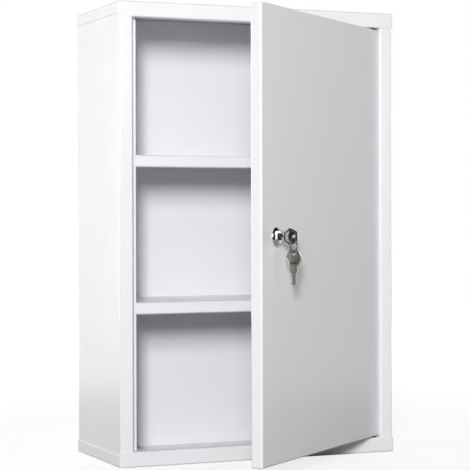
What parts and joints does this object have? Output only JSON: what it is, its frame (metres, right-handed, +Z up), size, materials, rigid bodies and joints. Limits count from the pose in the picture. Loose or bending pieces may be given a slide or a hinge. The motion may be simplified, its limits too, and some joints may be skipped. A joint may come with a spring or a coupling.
{
  "type": "lockable medicine cabinet",
  "caption": "Wall cabinet folded from sheet steel, with shelves, a pivoting pan door, and a cam lock with its key, ring and spare key.",
  "frame": {"origin": "centre of the four wall screw holes, on the rear face of the body shell", "axes": "+Z up, +Y from the room to the wall along the screws, +X to the right seen from the room"},
  "size_m": [0.304, 0.3051, 0.46],
  "materials": {
    "white_paint": "satin powder coat",
    "zinc_steel": "bright zinc plating",
    "lock_chrome": "polished chrome plating",
    "wafer_brass": "stamped brass",
    "key_nickel": "tumbled nickel plating",
    "ring_wire": "drawn steel wire",
    "nylon": "black nylon"
  },
  "bodies": {
    "cabinet": {"body_shell": "white_paint", "top_panel": "white_paint", "bottom_panel": "white_paint", "upper_shelf": "white_paint", "lower_shelf": "white_paint", "hinge_pin_top": "zinc_steel", "hinge_pin_bottom": "zinc_steel"},
    "door": {"door_panel": "white_paint", "door_stiffener": "white_paint", "hinge_bracket_top": "zinc_steel", "hinge_bracket_bottom": "zinc_steel", "hinge_bush_top": "nylon", "hinge_bush_bottom": "nylon", "lock_body": "lock_chrome", "lock_washer": "zinc_steel", "lock_nut": "zinc_steel"},
    "lock_rotor": {"lock_plug": "lock_chrome", "lock_wafers": "wafer_brass", "lock_cam": "zinc_steel", "cam_washer": "zinc_steel", "cam_screw": "zinc_steel"},
    "key": {"key_in_lock": "key_nickel"},
    "ring": {"key_ring": "ring_wire"},
    "spare": {"spare_key": "key_nickel"}
  },
  "joints": [
    {"name": "door_hinge", "type": "hinge", "parent": "cabinet", "child": "door", "pos_m": [0.1295, -0.13, 0], "axis": [0, 0, 1], "range_deg": [-39.3, 70.7]},
    {"name": "lock_turn", "type": "hinge", "parent": "door", "child": "lock_rotor", "pos_m": [-0.04996, -0.28335, -0.0015], "axis": [-0.6334, 0.7738, 0], "range_deg": [0, 90]},
    {"name": "key_slide", "type": "slide", "parent": "lock_rotor", "child": "key", "axis": [0.6334, -0.7738, 0], "range_m": [0, 0.018]},
    {"name": "ring_swing", "type": "hinge", "parent": "key", "child": "ring", "pos_m": [-0.03843, -0.29743, -0.0025], "axis": [-0.7738, -0.6334, 0], "range_deg": [-12, 45]},
    {"name": "spare_swing", "type": "hinge", "parent": "ring", "child": "spare", "pos_m": [-0.03843, -0.29743, -0.0161], "axis": [-0.7738, -0.6334, 0], "range_deg": [-12, 45]}
  ]
}
